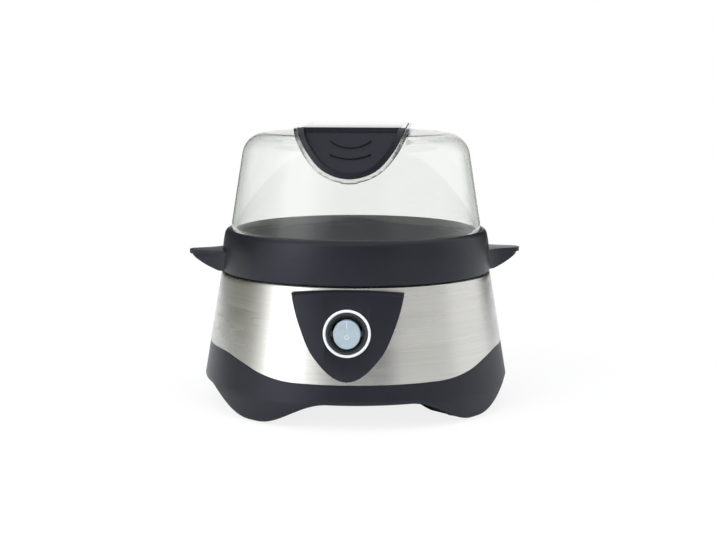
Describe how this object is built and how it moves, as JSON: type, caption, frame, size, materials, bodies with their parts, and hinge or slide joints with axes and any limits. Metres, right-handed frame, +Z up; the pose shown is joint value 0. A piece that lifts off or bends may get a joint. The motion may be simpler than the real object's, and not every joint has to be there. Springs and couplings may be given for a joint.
{
  "type": "electric egg cooker",
  "caption": "Round steam cooker with brushed steel body, black skirt and rocker switch, lift-off tray ring with ear handles, cupped rack and clear domed lid with black grip.",
  "frame": {"origin": "centre of the footprint at table level, on the axis of the round body", "axes": "+Z up; -Y is the front, where the control panel and the lid's front grip face; X across, along the switch's pivot"},
  "size_m": [0.201, 0.1858, 0.1677],
  "materials": {
    "clear_plastic": "clear moulded plastic",
    "black_plastic": "fine moulded texture",
    "brushed_steel": "brushed round the axis",
    "zinc_steel": "zinc plated",
    "rubber": "matt",
    "soft_black": "matt",
    "white_trim": "gloss",
    "gloss_black": "satin gloss",
    "brass": "plain",
    "rocker_blue_grey": "translucent satin",
    "white_mark": "printed",
    "lamp_glass": "clear",
    "pan_steel": "polished",
    "aluminium": "plain",
    "element_steel": "oxidised",
    "phenolic": "moulded",
    "ceramic_sleeve": "matt",
    "white_nylon": "moulded",
    "wire_black": "insulation",
    "wire_blue": "insulation"
  },
  "bodies": {
    "base": {"steel_shell": "brushed_steel", "base_skirt": "black_plastic", "bottom_cover": "black_plastic", "cover_screws": "zinc_steel", "foot_pads": "rubber", "cord_gland": "soft_black", "control_panel": "black_plastic", "panel_clips": "zinc_steel", "switch_ring": "white_trim", "switch_housing": "gloss_black", "switch_terminals": "brass", "water_pan": "pan_steel", "pan_gasket": "rubber", "heater_plate": "aluminium", "heating_element": "element_steel", "thermostat": "phenolic", "thermostat_flange": "aluminium", "thermostat_screws": "zinc_steel", "thermal_fuse": "ceramic_sleeve", "fuse_clip": "zinc_steel", "pan_bracket": "zinc_steel", "bracket_screws": "zinc_steel", "heat_shield": "aluminium", "pan_nuts": "zinc_steel", "terminal_block": "white_nylon", "terminal_screws": "brass", "wire_feed": "wire_black", "wire_load": "wire_black", "wire_link": "wire_blue", "wire_return": "wire_blue"},
    "tray": {"tray_ring": "black_plastic", "egg_rack": "black_plastic"},
    "lid": {"lid_dome": "clear_plastic", "lid_handle": "black_plastic"},
    "rocker": {"switch_rocker": "rocker_blue_grey", "rocker_marks": "white_mark", "rocker_lamp": "lamp_glass"},
    "contact": {"switch_contact": "brass"}
  },
  "joints": [
    {"name": "tray_lift", "type": "slide", "parent": "base", "child": "tray", "axis": [0, 0, 1], "range_m": [0, 0.12]},
    {"name": "lid_lift", "type": "slide", "parent": "tray", "child": "lid", "axis": [0, 0, 1], "range_m": [0, 0.12]},
    {"name": "rocker_tilt", "type": "hinge", "parent": "base", "child": "rocker", "pos_m": [0, -0.0867, 0.05471], "axis": [-1, 0, 0], "range_deg": [0, 16]},
    {"name": "contact_tilt", "type": "hinge", "parent": "base", "child": "contact", "pos_m": [0, -0.07757, 0.05359], "axis": [1, 0, 0], "range_deg": [0, 12]}
  ],
  "couplings": [
    {"joint": "contact_tilt", "follows": "rocker_tilt", "ratio": 0.75}
  ]
}
